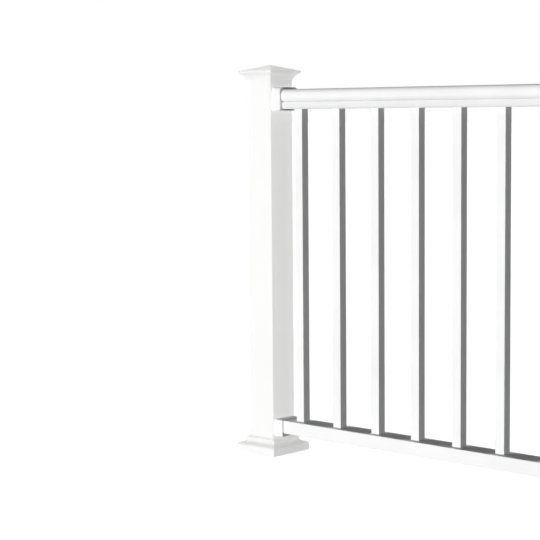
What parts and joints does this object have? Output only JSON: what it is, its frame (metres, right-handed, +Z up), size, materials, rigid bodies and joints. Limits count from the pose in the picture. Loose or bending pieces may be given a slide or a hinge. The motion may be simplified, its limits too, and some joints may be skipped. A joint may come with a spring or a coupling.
{
  "type": "aluminium deck railing",
  "caption": "White powder-coated aluminium deck railing: square posts with pyramid caps and stepped skirts, rounded top rail, box bottom rail and square balusters.",
  "frame": {"origin": "centre of the underside of the first post's base plate, on the deck surface", "axes": "+X along the railing towards the later posts, +Y across the railing, +Z up"},
  "size_m": [3.943, 0.133, 0.976],
  "materials": {
    "plate_coat": "white satin powder coat on aluminium plate",
    "post_coat": "white satin powder coat on extruded aluminium tube",
    "skirt_coat": "white satin powder coat on cast aluminium",
    "cap_coat": "white satin powder coat on cast aluminium",
    "rail_coat": "white gloss powder coat on extruded aluminium",
    "baluster_coat": "white gloss powder coat on square aluminium tube",
    "bracket_coat": "white gloss powder coat on cast aluminium"
  },
  "bodies": {
    "root": {"base_plate_1": "plate_coat", "post_1": "post_coat", "base_skirt_1": "skirt_coat", "post_cap_1": "cap_coat", "base_plate_2": "plate_coat", "post_2": "post_coat", "base_skirt_2": "skirt_coat", "post_cap_2": "cap_coat", "base_plate_3": "plate_coat", "post_3": "post_coat", "base_skirt_3": "skirt_coat", "post_cap_3": "cap_coat", "top_rail_cover_1": "rail_coat", "top_rail_channel_1": "rail_coat", "bottom_rail_1": "rail_coat", "balusters_1": "baluster_coat", "top_bracket_1_left": "bracket_coat", "bottom_bracket_1_left": "bracket_coat", "top_bracket_1_right": "bracket_coat", "bottom_bracket_1_right": "bracket_coat", "top_rail_cover_2": "rail_coat", "top_rail_channel_2": "rail_coat", "bottom_rail_2": "rail_coat", "balusters_2": "baluster_coat", "top_bracket_2_left": "bracket_coat", "bottom_bracket_2_left": "bracket_coat", "top_bracket_2_right": "bracket_coat", "bottom_bracket_2_right": "bracket_coat"}
  },
  "joints": []
}
